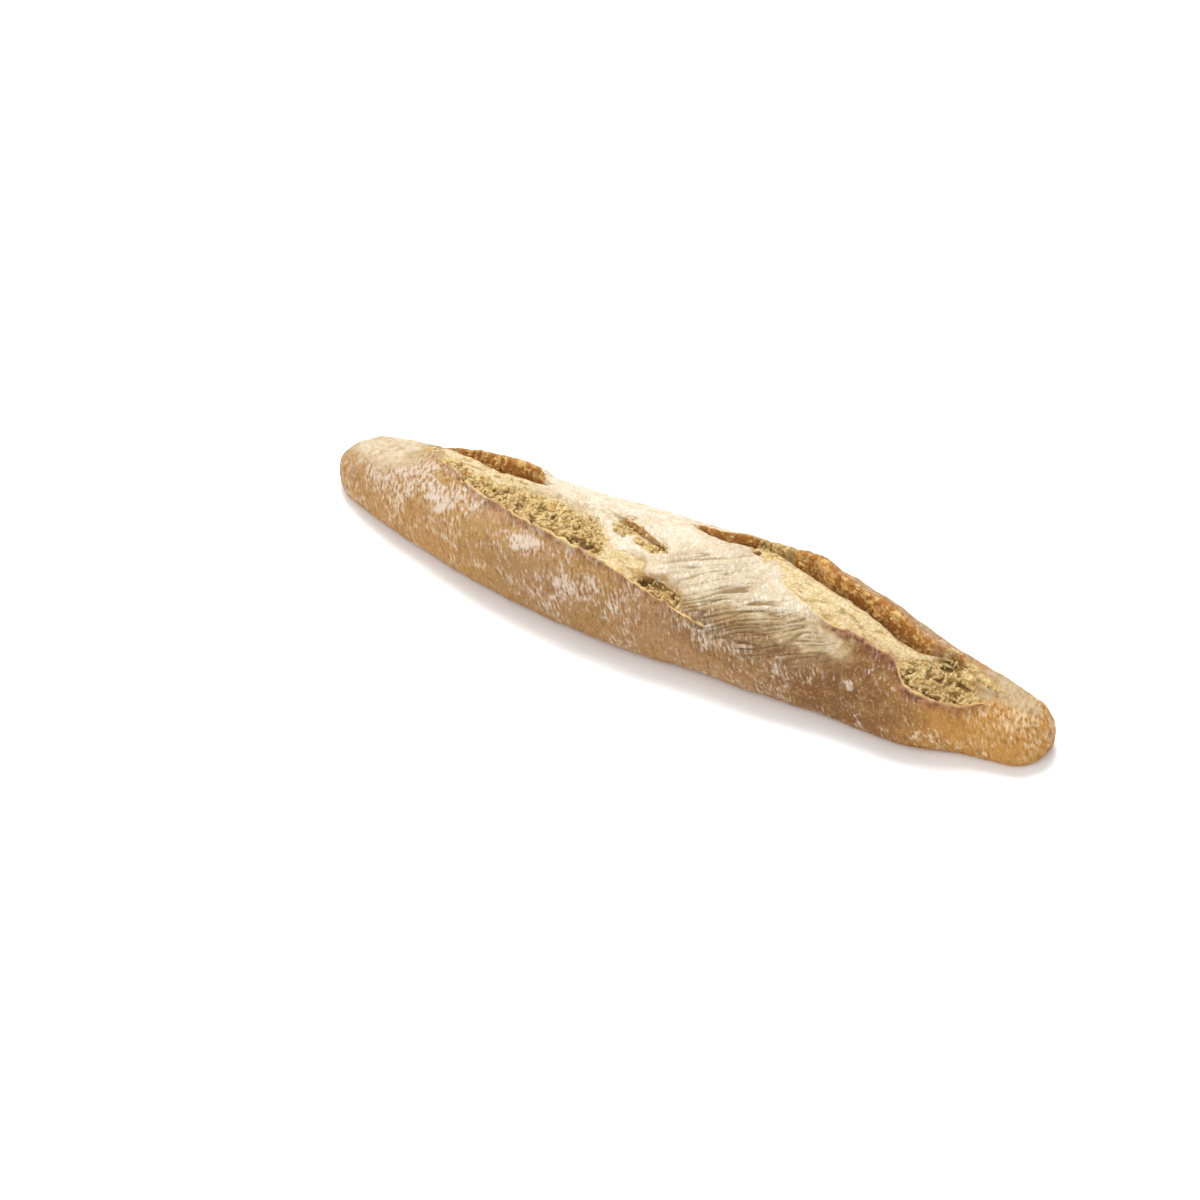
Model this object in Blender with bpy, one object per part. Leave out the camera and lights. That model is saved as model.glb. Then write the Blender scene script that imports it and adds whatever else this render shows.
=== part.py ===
"""A long bread loaf with two diagonal slashes. Metres, +Z up, +X along the loaf to its narrower end."""
import bmesh
import bpy
import numpy as np

# Whole loaf
LOAF_LENGTH = 0.340
LOAF_HALF = LOAF_LENGTH / 2
WIDEST_HEIGHT_SHARE = 0.42
TOP_FULLNESS = 2.15
SOLE_FULLNESS = 3.6
SOLE_FLATTENING = 0.0013
TIP_CENTRE_SHARE = 0.40
TIP_POWER = 2.3
BROAD_TIP_LENGTH = 0.0194
NARROW_TIP_LENGTH = 0.0121

# Plain body as (millimetres along the loaf, millimetres). The middle line bends a little across the loaf.
BODY = {
    "half_width": (
        (-170, 13), (-120, 23), (-60, 30.5), (0, 34), (45, 34), (85, 29.5), (120, 23.5), (145, 17.5),
        (170, 12.5),
    ),
    "middle": (
        (-170, -2), (-120, -7.5), (-60, -11), (0, -8.5), (45, -2.5), (85, -2), (120, -4.5), (145, 0.5),
        (170, 2),
    ),
}
WIDEST_HALF = 34
HEIGHT_SHARE = 0.59
SLENDER_HEIGHT_GAIN = 0.22

# Facets: rings along the loaf, and columns between one line along it and the next
RING_COUNT = 119
BROAD_TIP_RINGS = 8
NARROW_TIP_RINGS = 6
NEAR_FLANK_COLUMNS = (1, 1, 1, 4)
SLASH_COLUMNS = (1, 1, 1, 1, 2, 2, 2, 1, 1, 1, 1, 2, 2)
BETWEEN_COLUMNS = 1
FAR_FLANK_COLUMNS = (3, 1, 1, 1)

# Uneven dough
LUMP_SIZE = 0.045
LUMP_HEIGHT = 0.0009
LUMP_FADE_HEIGHT = 0.01
CRUMB_CELL = 0.0055
CRUMB_ROUGHNESS = 0.35
CRUMB_SPREAD = 1.6
EDGE_WAVE = 0.012
EDGE_RAGGEDNESS = 0.22

# Angles run in degrees round the section: 0 is the near side, 90 the top and 180 the far side.
BOTTOM_ANGLE = -90.0
FIRST_SLASH_LINE = 4
SECOND_SLASH_LINE = 18
TROUGH_LINE = 4
NEAR_FLANK_ANGLES = (-60.0, -44.0, -24.0)
FAR_FLANK_ANGLES = (204.0, 224.0, 240.0)

# Each slash as (millimetres along the loaf, value). Angles are in degrees, sizes in millimetres.
FIRST_SLASH = {
    "rim": (
        (-170, 100), (-124, 97), (-107, 88), (-88, 73), (-64, 64), (-30, 55), (-1, 46), (24, 32),
        (60, 6), (110, -14), (170, -16),
    ),
    "groove": (
        (-170, 142), (-121, 132), (-95, 118), (-80, 110), (-60, 108), (-23, 94), (4, 80), (20, 54),
        (60, 18), (110, -4), (170, -6),
    ),
    "torn_share": (
        (-170, 0.4), (-96, 0.44), (-80, 0.55), (-57, 0.67), (-32, 0.70), (-13, 0.45), (3, 0.32),
        (20, 0.55), (170, 0.5),
    ),
    "near_shoulder": ((-170, 8), (30, 8), (70, 5), (170, 4)),
    "far_shoulder": ((-170, 12), (-60, 14), (-25, 7), (0, 6), (60, 4), (170, 3)),
    "lip": (
        (-170, 0), (-118, 0), (-104, 0.9), (-85, 1.5), (-40, 1.7), (5, 1.5), (20, 0.9), (31, 0),
        (170, 0),
    ),
    "trough": (
        (-170, 0), (-113, 0), (-100, 1.6), (-85, 2.6), (-55, 3.2), (-30, 2.8), (-10, 1.4),
        (0, 2.2), (12, 3.4), (22, 1.8), (30, 0), (170, 0),
    ),
    "bulge": ((-170, 0), (-112, 0), (-92, 0.9), (-60, 1.6), (-30, 1.4), (0, 0.4), (15, 0), (170, 0)),
    "gap": (
        (-170, 0), (-127, 0), (-112, 1.6), (-95, 3.4), (-75, 3.6), (-67, 2.4), (-58, -1.0),
        (-32, -0.8), (-20, 1.3), (-10, 1.9), (0, 1.5), (9, 0), (170, 0),
    ),
    "ear": (
        (-170, 0), (-127, 0), (-113, 2.2), (-98, 4.2), (-86, 6.2), (-76, 7.2), (-69, 6.2),
        (-62, 1.2), (-32, 0.9), (-20, 1.2), (-10, 1.6), (0, 1.2), (9, 0), (170, 0),
    ),
}
SECOND_SLASH = {
    "rim": (
        (-170, 160), (-60, 152), (-20, 128), (8, 107), (20, 103), (32, 101), (47, 88), (66, 75),
        (84, 67), (109, 67), (119, 48), (131, 43), (139, 45), (147, 64), (170, 68),
    ),
    "groove": (
        (-170, 176), (-60, 166), (-20, 142), (8, 113), (20, 108), (36, 111), (64, 104), (89, 99),
        (108, 94), (118, 97), (127, 106), (133, 96), (142, 86), (170, 92),
    ),
    "torn_share": (
        (-170, 0.5), (40, 0.5), (60, 0.22), (108, 0.22), (121, 0.85), (145, 0.85), (170, 0.5),
    ),
    "near_shoulder": ((-170, 3), (-60, 3), (0, 6), (30, 8), (150, 8), (170, 4)),
    "far_shoulder": ((-170, 6), (-40, 8), (20, 12), (60, 15), (125, 11), (170, 6)),
    "lip": (
        (-170, 0), (0, 0), (16, 0.4), (50, 0.4), (75, 0.8), (100, 1.4), (125, 1.7), (143, 1.2),
        (152, 0), (170, 0),
    ),
    "trough": (
        (-170, 0), (8, 0), (60, 0.2), (80, 0.7), (106, 0.9), (116, 2.2), (129, 4.2), (141, 2.6),
        (150, 0), (170, 0),
    ),
    "bulge": ((-170, 0), (30, 0), (50, 1.0), (80, 2.0), (100, 1.7), (112, 0.5), (118, 0), (170, 0)),
    "gap": (
        (-170, 0), (0, 0), (11, 2.4), (24, 2.0), (38, 1.0), (50, 2.2), (65, 3.4), (95, 3.8),
        (112, 3.2), (120, 2.2), (130, 2.4), (140, 1.2), (148, 0), (170, 0),
    ),
    "ear": (
        (-170, 0), (-3, 0), (11, 2.0), (24, 3.4), (40, 3.8), (52, 5.2), (70, 6.6), (98, 6.2),
        (114, 4.9), (124, 3.0), (133, 1.4), (142, 0.8), (150, 0), (170, 0),
    ),
}

# A slash's section, from the rim over the torn crumb and the pale band to the ear. Widths are in
# millimetres. Places and heights are shares of the sizes in the tables above.
RIM_WIDTH = 1.1
RIM_WIDTH_LIMIT = 0.12
OUTER_RIM_HEIGHT = 0.75
INNER_RIM_DEPTH = 0.4
TROUGH_PLACE = 0.45
TORN_END_DEPTH = 0.35
BAND_CREST_PLACE = 0.5
BAND_FOOT_WIDTH = 2.4
BAND_FOOT_LIMIT = 0.25
BAND_FOOT_HEIGHT = 0.3
EAR_FOOT_PLACE = 0.07
EAR_FOOT_DEPTH = 0.7
EAR_FOOT_SHIFT = 0.1
EAR_UNDERSIDE_PLACE = 0.12
EAR_UNDERSIDE_HEIGHT = 0.85
EAR_CREST_PLACE = 0.20
EAR_CREST_LEAN = 0.6
EAR_SHOULDER_PLACE = 0.42
EAR_SHOULDER_HEIGHT = 0.62
EAR_LEAN = 0.24
MILLIMETRE = 0.001

# Seeds of the noise, and large odd numbers that scatter the corners of its lattice
LUMP_SEED = 3
CRUMB_SEED = 5
FIRST_WAVE_SEED = 11
SECOND_WAVE_SEED = 15
LATTICE_START = 1000.0
HASH_STEPS = (73856093, 19349663, 83492791, 2654435)
HASH_STIRS = (1274126177, 2246822519)
HASH_LIMIT = 0xFFFFFFFF

CRUST_COLOUR = (0.56, 0.34, 0.17, 1.0)
CRUST_ROUGHNESS = 0.75


def along(stations, x_mm):
    """The value at x_mm of a smooth curve through the stations that never overshoots them."""
    at, values = np.array(stations, float).T
    return smooth_through(at, values, x_mm)


def smooth_through(at, values, where):
    """A monotone cubic through (at, values), read at where."""
    steps = np.diff(at)
    rises = np.diff(values, axis=-1) / steps
    before, after = rises[..., :-1], rises[..., 1:]
    same_way = before * after > 0
    total = np.where(same_way, before + after, 1.0)
    inner = np.where(same_way, 2 * before * after / total, 0.0)
    slopes = np.concatenate([rises[..., :1], inner, rises[..., -1:]], axis=-1)
    where = np.clip(where, at[0], at[-1])
    i = np.clip(np.searchsorted(at, where, side="right") - 1, 0, len(at) - 2)
    step = steps[i]
    t = (where - at[i]) / step
    return (
        (1 + 2 * t) * (1 - t) ** 2 * values[..., i]
        + t * (1 - t) ** 2 * step * slopes[..., i]
        + t * t * (3 - 2 * t) * values[..., i + 1]
        + t * t * (t - 1) * step * slopes[..., i + 1]
    )


def lattice_value(cell, seed):
    """A fixed number from -1 to 1 for each whole-number corner of a lattice."""
    mixed = np.full(cell.shape[:-1], seed * HASH_STEPS[3])
    for axis in range(3):
        mixed = mixed ^ cell[..., axis] * HASH_STEPS[axis]
    mixed = (mixed ^ (mixed >> 13)) * HASH_STIRS[0] & HASH_LIMIT
    mixed = (mixed ^ (mixed >> 16)) * HASH_STIRS[1] & HASH_LIMIT
    return mixed / HASH_LIMIT * 2 - 1


def dough_noise(points, size, seed):
    """Smooth noise from -1 to 1 over points, with bumps of about the given size."""
    scaled = points / size + LATTICE_START
    cell = np.floor(scaled).astype(np.int64)
    part = scaled - cell
    part = part * part * (3 - 2 * part)
    total = np.zeros(points.shape[:-1])
    for corner in np.ndindex(2, 2, 2):
        share = np.prod(np.where(corner, part, 1 - part), axis=-1)
        total += share * lattice_value(cell + np.array(corner), seed)
    return total


def tip_share(x_mm):
    """How much of the full section is left at x: 1 along the body, rounding to 0 at both tips."""
    broad = (-x_mm * MILLIMETRE - (LOAF_HALF - BROAD_TIP_LENGTH)) / BROAD_TIP_LENGTH
    narrow = (x_mm * MILLIMETRE - (LOAF_HALF - NARROW_TIP_LENGTH)) / NARROW_TIP_LENGTH
    into = np.clip(np.maximum(broad, narrow), 0, 1)
    return np.sqrt(1 - into**TIP_POWER)


def plain_point(x_mm, angle):
    """The point of the plain, unslashed body at x and at an angle round the section."""
    left = tip_share(x_mm)
    half_width, middle = along(BODY["half_width"], x_mm), along(BODY["middle"], x_mm)
    slender = 1 - half_width / WIDEST_HALF
    height = 2 * half_width * (HEIGHT_SHARE + SLENDER_HEIGHT_GAIN * slender)
    lowest = TIP_CENTRE_SHARE * height * (1 - left)
    highest = lowest + height * left
    widest = lowest + WIDEST_HEIGHT_SHARE * (highest - lowest)
    cosine, sine = np.cos(np.radians(angle)), np.sin(np.radians(angle))
    power = 2 / np.where(sine >= 0, TOP_FULLNESS, SOLE_FULLNESS)
    y = middle - half_width * left * np.sign(cosine) * np.abs(cosine) ** power
    reach = np.where(sine >= 0, highest - widest, lowest - widest)
    z = np.maximum(widest + reach * np.abs(sine) ** power, SOLE_FLATTENING / MILLIMETRE)
    return np.stack([x_mm + 0 * angle, y, z - SOLE_FLATTENING / MILLIMETRE], axis=-1) * MILLIMETRE


def section_frame(x_mm, angle):
    """Directions across the plain surface towards the far side, and outwards, in the section's plane."""
    across = plain_point(x_mm, angle + 0.5) - plain_point(x_mm, angle - 0.5)
    across /= np.maximum(np.linalg.norm(across, axis=-1, keepdims=True), 1e-9)
    outward = np.stack([across[..., 0], -across[..., 2], across[..., 1]], axis=-1)
    return across, outward


def slash_lines(slash, wave_seed, x_mm):
    """The lines of a slash at x as (angle in degrees, outward and far-side shifts in millimetres)."""
    degrees = np.degrees(1 / along(BODY["half_width"], x_mm))
    size = {name: along(stations, x_mm) for name, stations in slash.items()}
    line = np.stack([x_mm * MILLIMETRE, 0 * x_mm, 0 * x_mm], axis=-1)
    ragged = 1 + EDGE_RAGGEDNESS * dough_noise(line, EDGE_WAVE, wave_seed)
    rim, groove = size["rim"], size["groove"]
    torn = rim + (groove - rim) * size["torn_share"]
    lip, trough, gap, ear = size["lip"] * ragged, size["trough"], size["gap"], size["ear"] * ragged
    none = 0 * x_mm
    rim_width = np.minimum(RIM_WIDTH * degrees, RIM_WIDTH_LIMIT * (groove - rim))
    foot_width = np.minimum(BAND_FOOT_WIDTH * degrees, BAND_FOOT_LIMIT * (groove - torn))
    far = size["far_shoulder"] * degrees
    return (
        (rim - size["near_shoulder"] * degrees, none, none),
        (rim - rim_width, OUTER_RIM_HEIGHT * lip, none),
        (rim, lip, none),
        (rim + rim_width, -INNER_RIM_DEPTH * trough, none),
        (rim + TROUGH_PLACE * (torn - rim), -trough, none),
        (torn, -TORN_END_DEPTH * trough, none),
        (torn + BAND_CREST_PLACE * (groove - torn), size["bulge"], none),
        (groove - foot_width, BAND_FOOT_HEIGHT * (size["bulge"] - gap), none),
        (groove, -gap, none),
        (groove + EAR_FOOT_PLACE * far, -EAR_FOOT_DEPTH * gap, EAR_FOOT_SHIFT * gap),
        (groove + EAR_UNDERSIDE_PLACE * far, EAR_UNDERSIDE_HEIGHT * ear, -EAR_LEAN * ear),
        (groove + EAR_CREST_PLACE * far, ear, -EAR_CREST_LEAN * EAR_LEAN * ear),
        (groove + EAR_SHOULDER_PLACE * far, EAR_SHOULDER_HEIGHT * ear, none),
        (groove + far, none, none),
    )


def section_lines(x_mm):
    """Every line round the loaf at x, from the bottom over the top and down to the bottom again."""
    none = 0 * x_mm
    near = [(none + angle, none, none) for angle in (BOTTOM_ANGLE, *NEAR_FLANK_ANGLES)]
    far = [(none + angle, none, none) for angle in (*FAR_FLANK_ANGLES, BOTTOM_ANGLE + 360)]
    first = slash_lines(FIRST_SLASH, FIRST_WAVE_SEED, x_mm)
    second = slash_lines(SECOND_SLASH, SECOND_WAVE_SEED, x_mm)
    lines = [*near, *first, *second, *far]
    return np.array(lines).transpose(1, 2, 0)


def column_places():
    """Where the columns of facets stand, counted in lines from the bottom one."""
    counts = (
        *NEAR_FLANK_COLUMNS, *SLASH_COLUMNS, BETWEEN_COLUMNS, *SLASH_COLUMNS, *FAR_FLANK_COLUMNS,
    )
    places = [line + share / count for line, count in enumerate(counts) for share in range(count)]
    return np.array(places), len(counts)


def ring_places():
    """Where the rings of facets stand along the loaf, in millimetres, with both poles."""
    broad, narrow = BROAD_TIP_LENGTH / MILLIMETRE, NARROW_TIP_LENGTH / MILLIMETRE
    half = LOAF_HALF / MILLIMETRE
    turn = np.linspace(0, np.pi / 2, BROAD_TIP_RINGS + 1)
    start = -half + broad * (1 - np.cos(turn))
    turn = np.linspace(np.pi / 2, 0, NARROW_TIP_RINGS + 1)
    end = half - narrow * (1 - np.cos(turn))
    body_count = RING_COUNT - BROAD_TIP_RINGS - NARROW_TIP_RINGS
    body = np.linspace(start[-1], end[0], body_count + 1)
    return np.concatenate([start, body[1:], end[1:]])


def crumb_share(places, first_line, size):
    """How torn each column is: the trough's depth in the torn crumb and 0 away from it."""
    middle = np.clip(1 - np.abs(places - first_line - TROUGH_LINE) / CRUMB_SPREAD, 0, 1)
    return middle * size[:, None]


def loaf_points():
    """A grid of points, one row for each ring and one column for each line of facets."""
    x_mm = ring_places()
    places, line_count = column_places()
    angles, outward_mm, across_mm = section_lines(x_mm)
    lines = np.arange(line_count + 1, dtype=float)
    angle = smooth_through(lines, angles, places)
    outward_by = smooth_through(lines, outward_mm, places)
    across_by = smooth_through(lines, across_mm, places)
    along_x = np.repeat(x_mm[:, None], len(places), axis=1)
    points = plain_point(along_x, angle)
    across, outward = section_frame(along_x, angle)
    first = crumb_share(places, FIRST_SLASH_LINE, along(FIRST_SLASH["trough"], x_mm))
    second = crumb_share(places, SECOND_SLASH_LINE, along(SECOND_SLASH["trough"], x_mm))
    torn = dough_noise(points, CRUMB_CELL, CRUMB_SEED) * CRUMB_ROUGHNESS * (first + second)
    lump = dough_noise(points, LUMP_SIZE, LUMP_SEED) * LUMP_HEIGHT
    above_sole = np.clip(points[..., 2:] / LUMP_FADE_HEIGHT, 0, 1)
    roundness = tip_share(x_mm)[:, None, None]
    points += across * across_by[..., None] * MILLIMETRE
    points += outward * (outward_by + torn)[..., None] * MILLIMETRE
    points += outward * lump[..., None] * above_sole * roundness
    return points


def shaped_sphere(points):
    """A UV sphere with its rings and columns moved onto the grid of points.

    The columns stand half a step round from the X axis, so a turn rounded down gives a column's number.
    """
    rings, columns = points.shape[0] - 1, points.shape[1]
    mesh = bmesh.new()
    bmesh.ops.create_uvsphere(mesh, u_segments=columns, v_segments=rings, radius=1.0)
    for vertex in mesh.verts:
        ring = round(np.arccos(np.clip(vertex.co.z, -1, 1)) / np.pi * rings)
        turn = np.arctan2(vertex.co.y, vertex.co.x) / (2 * np.pi)
        column = int(np.floor(turn * columns)) % columns
        vertex.co = points[ring, column] if 0 < ring < rings else points[ring].mean(axis=0)
    return mesh


def centred(points):
    """The points with the middle of their bounding box over the origin and their lowest point on z = 0."""
    low, high = points.min(axis=(0, 1)), points.max(axis=(0, 1))
    shift = np.array([(low[0] + high[0]) / 2, (low[1] + high[1]) / 2, low[2]])
    return points - shift


def crust_material():
    material = bpy.data.materials.new("baked crust")
    material.use_nodes = True
    shader = material.node_tree.nodes["Principled BSDF"]
    shader.inputs["Base Color"].default_value = CRUST_COLOUR
    shader.inputs["Roughness"].default_value = CRUST_ROUGHNESS
    shader.inputs["Metallic"].default_value = 0.0
    return material


def add_loaf(collection):
    mesh = bpy.data.meshes.new("loaf")
    shaped = shaped_sphere(centred(loaf_points()))
    shaped.to_mesh(mesh)
    shaped.free()
    loaf = bpy.data.objects.new("loaf", mesh)
    collection.objects.link(loaf)
    mesh.materials.append(crust_material())
    mesh.shade_smooth()
    return loaf


def clear_scene():
    for thing in list(bpy.data.objects):
        bpy.data.objects.remove(thing, do_unlink=True)


def main():
    clear_scene()
    collection = bpy.data.collections.new("long bread loaf")
    bpy.context.scene.collection.children.link(collection)
    add_loaf(collection)


main()
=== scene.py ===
"""The looks of a long bread loaf: baked crust, flour, raised ears and torn crumb, on a pale floor."""
import math
from collections import namedtuple

import bpy
import numpy as np
from mathutils import Matrix, Vector


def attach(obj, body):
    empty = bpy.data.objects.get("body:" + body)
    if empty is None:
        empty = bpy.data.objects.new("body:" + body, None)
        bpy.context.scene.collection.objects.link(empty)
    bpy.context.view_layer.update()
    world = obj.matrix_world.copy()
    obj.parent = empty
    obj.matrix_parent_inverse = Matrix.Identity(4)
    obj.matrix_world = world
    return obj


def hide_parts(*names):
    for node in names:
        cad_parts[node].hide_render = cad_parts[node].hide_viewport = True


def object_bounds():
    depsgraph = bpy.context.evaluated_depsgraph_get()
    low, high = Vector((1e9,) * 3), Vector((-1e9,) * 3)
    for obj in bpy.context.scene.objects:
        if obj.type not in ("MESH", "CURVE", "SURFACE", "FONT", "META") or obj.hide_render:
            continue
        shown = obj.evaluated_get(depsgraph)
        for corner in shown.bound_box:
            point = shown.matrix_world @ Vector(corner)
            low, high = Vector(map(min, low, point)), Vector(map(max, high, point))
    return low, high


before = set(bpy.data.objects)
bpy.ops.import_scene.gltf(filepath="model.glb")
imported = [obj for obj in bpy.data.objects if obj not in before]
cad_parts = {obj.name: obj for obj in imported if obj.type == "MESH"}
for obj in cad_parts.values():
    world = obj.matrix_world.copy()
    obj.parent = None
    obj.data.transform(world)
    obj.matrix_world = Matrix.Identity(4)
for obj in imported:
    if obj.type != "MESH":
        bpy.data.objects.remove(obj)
CAD_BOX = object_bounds()

MILLIMETRE = 0.001
HALF_STEP_DEGREES = 0.5
SHORTEST_ACROSS = 1e-9
SHORTEST_NORMAL = 1e-12

# Whole loaf
LOAF_LENGTH = 0.340
LOAF_HALF = LOAF_LENGTH / 2
WIDEST_HEIGHT_SHARE = 0.42
TOP_FULLNESS = 2.15
SOLE_FULLNESS = 3.6
SOLE_FLATTENING = 0.0013
TIP_CENTRE_SHARE = 0.40
TIP_POWER = 2.3
BROAD_TIP_LENGTH = 0.0194
NARROW_TIP_LENGTH = 0.0121

# Plain body as (millimetres along the loaf, millimetres). The middle line bends a little across the loaf.
BODY = {
    "half_width": (
        (-170, 13), (-120, 23), (-60, 30.5), (0, 34), (45, 34), (85, 29.5), (120, 23.5), (145, 17.5),
        (170, 12.5),
    ),
    "middle": (
        (-170, -2), (-120, -7.5), (-60, -11), (0, -8.5), (45, -2.5), (85, -2), (120, -4.5), (145, 0.5),
        (170, 2),
    ),
}
WIDEST_HALF = 34
HEIGHT_SHARE = 0.59
SLENDER_HEIGHT_GAIN = 0.22
LUMP_SIZE = 0.045
LUMP_HEIGHT = 0.0009
LUMP_FADE_HEIGHT = 0.01
EDGE_WAVE = 0.012
EDGE_RAGGEDNESS = 0.22

# Angles run in degrees round the section: 0 is the near side, 90 the top and 180 the far side.
BOTTOM_ANGLE = -90.0
NEAR_FLANK_ANGLES = (-60.0, -44.0, -24.0)
FAR_FLANK_ANGLES = (204.0, 224.0, 240.0)

# Each slash as (millimetres along the loaf, value). Angles are in degrees, sizes in millimetres.
FIRST_SLASH = {
    "rim": (
        (-170, 100), (-124, 97), (-107, 88), (-88, 73), (-64, 64), (-30, 55), (-1, 46), (24, 32),
        (60, 6), (110, -14), (170, -16),
    ),
    "groove": (
        (-170, 142), (-121, 132), (-95, 118), (-80, 110), (-60, 108), (-23, 94), (4, 80), (20, 54),
        (60, 18), (110, -4), (170, -6),
    ),
    "torn_share": (
        (-170, 0.4), (-96, 0.44), (-80, 0.55), (-57, 0.67), (-32, 0.70), (-13, 0.45), (3, 0.32),
        (20, 0.55), (170, 0.5),
    ),
    "near_shoulder": ((-170, 8), (30, 8), (70, 5), (170, 4)),
    "far_shoulder": ((-170, 12), (-60, 14), (-25, 7), (0, 6), (60, 4), (170, 3)),
    "lip": (
        (-170, 0), (-118, 0), (-104, 0.9), (-85, 1.5), (-40, 1.7), (5, 1.5), (20, 0.9), (31, 0),
        (170, 0),
    ),
    "trough": (
        (-170, 0), (-113, 0), (-100, 1.6), (-85, 2.6), (-55, 3.2), (-30, 2.8), (-10, 1.4),
        (0, 2.2), (12, 3.4), (22, 1.8), (30, 0), (170, 0),
    ),
    "bulge": ((-170, 0), (-112, 0), (-92, 0.9), (-60, 1.6), (-30, 1.4), (0, 0.4), (15, 0), (170, 0)),
    "gap": (
        (-170, 0), (-127, 0), (-112, 1.6), (-95, 3.4), (-75, 3.6), (-67, 2.4), (-58, -1.0),
        (-32, -0.8), (-20, 1.3), (-10, 1.9), (0, 1.5), (9, 0), (170, 0),
    ),
    "ear": (
        (-170, 0), (-127, 0), (-113, 2.2), (-98, 4.2), (-86, 6.2), (-76, 7.2), (-69, 6.2),
        (-62, 1.2), (-32, 0.9), (-20, 1.2), (-10, 1.6), (0, 1.2), (9, 0), (170, 0),
    ),
}
SECOND_SLASH = {
    "rim": (
        (-170, 160), (-60, 152), (-20, 128), (8, 107), (20, 103), (32, 101), (47, 88), (66, 75),
        (84, 67), (109, 67), (119, 48), (131, 43), (139, 45), (147, 64), (170, 68),
    ),
    "groove": (
        (-170, 176), (-60, 166), (-20, 142), (8, 113), (20, 108), (36, 111), (64, 104), (89, 99),
        (108, 94), (118, 97), (127, 106), (133, 96), (142, 86), (170, 92),
    ),
    "torn_share": (
        (-170, 0.5), (40, 0.5), (60, 0.22), (108, 0.22), (121, 0.85), (145, 0.85), (170, 0.5),
    ),
    "near_shoulder": ((-170, 3), (-60, 3), (0, 6), (30, 8), (150, 8), (170, 4)),
    "far_shoulder": ((-170, 6), (-40, 8), (20, 12), (60, 15), (125, 11), (170, 6)),
    "lip": (
        (-170, 0), (0, 0), (16, 0.4), (50, 0.4), (75, 0.8), (100, 1.4), (125, 1.7), (143, 1.2),
        (152, 0), (170, 0),
    ),
    "trough": (
        (-170, 0), (8, 0), (60, 0.2), (80, 0.7), (106, 0.9), (116, 2.2), (129, 4.2), (141, 2.6),
        (150, 0), (170, 0),
    ),
    "bulge": ((-170, 0), (30, 0), (50, 1.0), (80, 2.0), (100, 1.7), (112, 0.5), (118, 0), (170, 0)),
    "gap": (
        (-170, 0), (0, 0), (11, 2.4), (24, 2.0), (38, 1.0), (50, 2.2), (65, 3.4), (95, 3.8),
        (112, 3.2), (120, 2.2), (130, 2.4), (140, 1.2), (148, 0), (170, 0),
    ),
    "ear": (
        (-170, 0), (-3, 0), (11, 2.0), (24, 3.4), (40, 3.8), (52, 5.2), (70, 6.6), (98, 6.2),
        (114, 4.9), (124, 3.0), (133, 1.4), (142, 0.8), (150, 0), (170, 0),
    ),
}

# A slash's section, from the rim over the torn crumb and the pale band to the ear. Widths are in
# millimetres. Places and heights are shares of the sizes in the tables above.
RIM_WIDTH = 1.1
RIM_WIDTH_LIMIT = 0.12
OUTER_RIM_HEIGHT = 0.75
INNER_RIM_DEPTH = 0.4
TROUGH_PLACE = 0.45
TORN_END_DEPTH = 0.35
BAND_CREST_PLACE = 0.5
BAND_FOOT_WIDTH = 2.4
BAND_FOOT_LIMIT = 0.25
BAND_FOOT_HEIGHT = 0.3
EAR_FOOT_PLACE = 0.07
EAR_FOOT_DEPTH = 0.7
EAR_FOOT_SHIFT = 0.1
EAR_UNDERSIDE_PLACE = 0.12
EAR_UNDERSIDE_HEIGHT = 0.85
EAR_CREST_PLACE = 0.20
EAR_CREST_LEAN = 0.6
EAR_SHOULDER_PLACE = 0.42
EAR_SHOULDER_HEIGHT = 0.62
EAR_LEAN = 0.24
FIRST_SLASH_LINE = 4
SECOND_SLASH_LINE = 18

# Seeds of the noise, and whole numbers that scatter the corners of its lattice
LUMP_SEED = 3
FIRST_WAVE_SEED = 11
SECOND_WAVE_SEED = 15
LATTICE_START = 1000.0
HASH_STEPS = (73856093, 19349663, 83492791, 2654435)
HASH_STIRS = (1274126177, 2246822519)
HASH_SHIFTS = (13, 16)
HASH_LIMIT = 0xFFFFFFFF


def along(stations, x_mm):
    """The value at x_mm of a smooth curve through the stations that never overshoots them."""
    at, values = np.array(stations, float).T
    return smooth_through(at, values, x_mm)


def smooth_through(at, values, where):
    """A monotone cubic through (at, values), read at where."""
    steps = np.diff(at)
    rises = np.diff(values, axis=-1) / steps
    before, after = rises[..., :-1], rises[..., 1:]
    same_way = before * after > 0
    total = np.where(same_way, before + after, 1.0)
    inner = np.where(same_way, 2 * before * after / total, 0.0)
    slopes = np.concatenate([rises[..., :1], inner, rises[..., -1:]], axis=-1)
    where = np.clip(where, at[0], at[-1])
    i = np.clip(np.searchsorted(at, where, side="right") - 1, 0, len(at) - 2)
    step = steps[i]
    t = (where - at[i]) / step
    return (
        (1 + 2 * t) * (1 - t) ** 2 * values[..., i]
        + t * (1 - t) ** 2 * step * slopes[..., i]
        + t * t * (3 - 2 * t) * values[..., i + 1]
        + t * t * (t - 1) * step * slopes[..., i + 1]
    )


def lattice_value(cell, seed):
    """A fixed number from -1 to 1 for each whole-number corner of a lattice."""
    mixed = np.full(cell.shape[:-1], seed * HASH_STEPS[3])
    for axis in range(3):
        mixed = mixed ^ cell[..., axis] * HASH_STEPS[axis]
    mixed = (mixed ^ (mixed >> HASH_SHIFTS[0])) * HASH_STIRS[0] & HASH_LIMIT
    mixed = (mixed ^ (mixed >> HASH_SHIFTS[1])) * HASH_STIRS[1] & HASH_LIMIT
    return mixed / HASH_LIMIT * 2 - 1


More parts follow.
